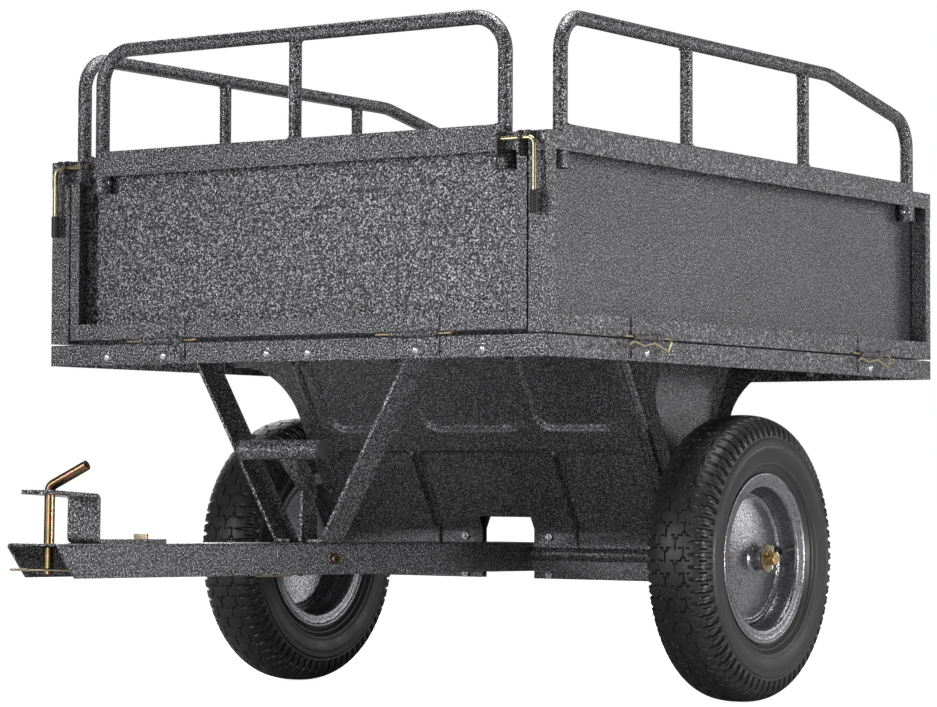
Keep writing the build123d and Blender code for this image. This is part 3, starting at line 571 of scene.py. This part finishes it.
# ------------------------------------------------------------------ coil spring under the drawbar
TB = 177.3
turns, y0, y1 = 25, -620.0, -545.0
th = np.linspace(0, turns * 2 * math.pi, turns * 20)
rc = np.full(th.shape, 4.1)
path = np.stack([rc * np.cos(th), y0 + (y1 - y0) * th / th[-1], TB + 1.6 + rc * np.sin(th)], -1)
hook1 = np.array([(0, -626.5, TB + 36), (0, -626.5, TB + 12), (0, -625.8, TB + 5), (0, -624.2, TB + 2.2), (1.2, -622.4, TB + 1.6), (3.2, -621.0, TB + 1.6)])
hook2 = np.array([(3.2, -544.2, TB + 1.6), (1.4, -543.0, TB + 1.6), (0, -541.2, TB + 1.6), (0, -534.0, TB + 1.6)])
sv, sf = tube(tilt(np.vstack([chaikin(hook1, 2, False), path, chaikin(hook2, 2, False)])), .85, 8)
sp = make("lever_coil_spring", sv, sf, M["zinc_yellow"], "drawbar", 50)
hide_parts("lever_return_spring")

# ------------------------------------------------------------------ weld beads
F = -558.0
FY = F + 16.0
SX = 404.0


def beads(name, parts, body):
    v, f = join(parts)
    make(name, v, f, M["powder_coat_speckled"], body, 60)


fr = [weld_ring((0, FY, 775.2), (0, 0, 1), 9.2, 1.5, seed=11), weld_ring((0, FY, 908.4), (0, 0, 1), 9.0, 1.5, seed=12)]
for sx in (-1, 1):
    fr.append(weld_line((sx * 330.4, FY - 9.0, 763.4), (sx * 330.4, FY - 9.0, 773.4), 1.5, 13))
    fr.append(weld_line((sx * 330.6, FY - 8.0, 774.6), (sx * 330.6, FY + 8.0, 774.6), 1.6, 14))
beads("front_hoop_welds", fr, "front_hoop_body")
for side, sg in (("left", 1), ("right", -1)):
    p = []
    for k, y in enumerate((-180.0, 164.0)):
        p.append(weld_ring((sg * SX, y, 775.2), (0, 0, 1), 9.2, 1.5, seed=20 + k))
        p.append(weld_ring((sg * SX, y, 908.4), (0, 0, 1), 9.0, 1.5, seed=24 + k))
    for y in (-497.4, 497.4):
        p.append(weld_line((sg * (SX - 8), y, 774.6), (sg * (SX + 8), y, 774.6), 1.6, 31))
        p.append(weld_line((sg * (SX + 9), y, 763.4), (sg * (SX + 9), y, 773.4), 1.5, 32))
    beads(side + "_hoop_welds", p, side + "_hoop_body")
beads("pedal_welds", [(tilt(a), b) for a, b in (weld_line((3.6, -566, 330.6), (3.6, -574, 331.0), 1.6, 41), weld_line((3.4, -560, 335), (3.4, -556.5, 341), 1.6, 42),
                                                weld_line((-3.4, -566, 330.6), (-3.4, -574, 331.0), 1.6, 43))], "lever")

# ------------------------------------------------------------------ floor, light, camera
fm, nt, bs, co = new_mat("studio_floor")
g = noise(nt, co, 3.0, 4.0, .6)
nt.links.new(ramp(nt, g, [(.3, (.90, .90, .90)), (.7, (.93, .93, .93))]), bs.inputs["Base Color"])
bs.inputs["Roughness"].default_value = .9
bs.inputs["Specular IOR Level"].default_value = .1
dark = nt.nodes.new("ShaderNodeBsdfDiffuse")
dark.inputs[0].default_value = (.58, .58, .58, 1)
glow = nt.nodes.new("ShaderNodeEmission")
glow.inputs[0].default_value = (1, 1, 1, 1)
glow.inputs[1].default_value = .92
addn = nt.nodes.new("ShaderNodeAddShader")
swap = nt.nodes.new("ShaderNodeMixShader")
seen = nt.nodes.new("ShaderNodeLightPath")
outn = [n for n in nt.nodes if n.bl_idname == "ShaderNodeOutputMaterial"][0]
nt.links.new(bs.outputs[0], addn.inputs[0])
nt.links.new(glow.outputs[0], addn.inputs[1])
nt.links.new(seen.outputs["Is Camera Ray"], swap.inputs[0])
nt.links.new(dark.outputs[0], swap.inputs[1])
nt.links.new(addn.outputs[0], swap.inputs[2])
nt.links.new(swap.outputs[0], outn.inputs[0])
bpy.ops.mesh.primitive_plane_add(size=60, location=(0, 0, -.0005))
floor = bpy.context.object
floor.name = "studio_floor"
floor.data.materials.append(fm)

world = bpy.data.worlds.new("studio")
bpy.context.scene.world = world
world.use_nodes = True
wn = world.node_tree
for n in list(wn.nodes):
    wn.nodes.remove(n)
wo = wn.nodes.new("ShaderNodeOutputWorld")
b1 = wn.nodes.new("ShaderNodeBackground")
b2 = wn.nodes.new("ShaderNodeBackground")
lp = wn.nodes.new("ShaderNodeLightPath")
mx = wn.nodes.new("ShaderNodeMixShader")
b1.inputs[0].default_value = (1, 1, 1, 1)
b1.inputs[1].default_value = .155
b2.inputs[0].default_value = (1, 1, 1, 1)
b2.inputs[1].default_value = 1.0
wn.links.new(lp.outputs["Is Camera Ray"], mx.inputs[0])
wn.links.new(b1.outputs[0], mx.inputs[1])
wn.links.new(b2.outputs[0], mx.inputs[2])
wn.links.new(mx.outputs[0], wo.inputs[0])


def area(name, loc, target, size, power, size_y=None):
    d = bpy.data.lights.new(name, "AREA")
    d.shape = "RECTANGLE"
    d.size = size
    d.size_y = size_y or size
    d.energy = power
    o = bpy.data.objects.new(name, d)
    bpy.context.scene.collection.objects.link(o)
    o.location = loc
    o.rotation_euler = (Vector(target) - Vector(loc)).to_track_quat("-Z", "Y").to_euler()
    return o


area("front_softbox", (-1.25, -3.2, .85), (.32, -.35, .6), .34, 29, .6)
area("side_softbox", (3.6, 4.2, 1.3), (.4, .2, .5), 2.6, 41, 1.5)
area("top_softbox", (.2, .1, 3.2), (0, .1, .3), 2.0, 120)
area("right_low_fill", (4.4, .1, .22), (0, -.8, .2), 1.2, 95, .3)
area("front_low_fill", (.9, -4.2, .30), (0, -.3, .35), 2.0, 46, .4)
area("back_softbox", (-3.4, 2.6, 1.8), (0, .2, .5), 2.0, 60)

cam = bpy.data.cameras.new("photo_camera")
co_ = bpy.data.objects.new("photo_camera", cam)
bpy.context.scene.collection.objects.link(co_)
az, pt, rl = math.radians(34.83), math.radians(3.09), math.radians(.26)
d = Vector((-math.sin(az) * math.cos(pt), math.cos(az) * math.cos(pt), math.sin(pt)))
right = Vector((math.cos(az), math.sin(az), 0))
up = right.cross(d)
r2 = math.cos(rl) * right + math.sin(rl) * up
u2 = -math.sin(rl) * right + math.cos(rl) * up
mw = Matrix((r2, u2, -d)).transposed().to_4x4()
mw.translation = Vector((2.59682, -3.75523, .31689))
co_.matrix_world = mw
cam.sensor_fit = "HORIZONTAL"
cam.sensor_width = 36.0
cam.lens = 3194.09 * 36.0 / 937.0
cam.shift_x = (468.5 - 405.43) / 937.0
cam.shift_y = (303.69 - 353.5) / 937.0
cam.clip_end = 100
bpy.context.scene.camera = co_
bpy.context.scene.view_settings.view_transform = "Standard"
bpy.context.scene.view_settings.look = "None"
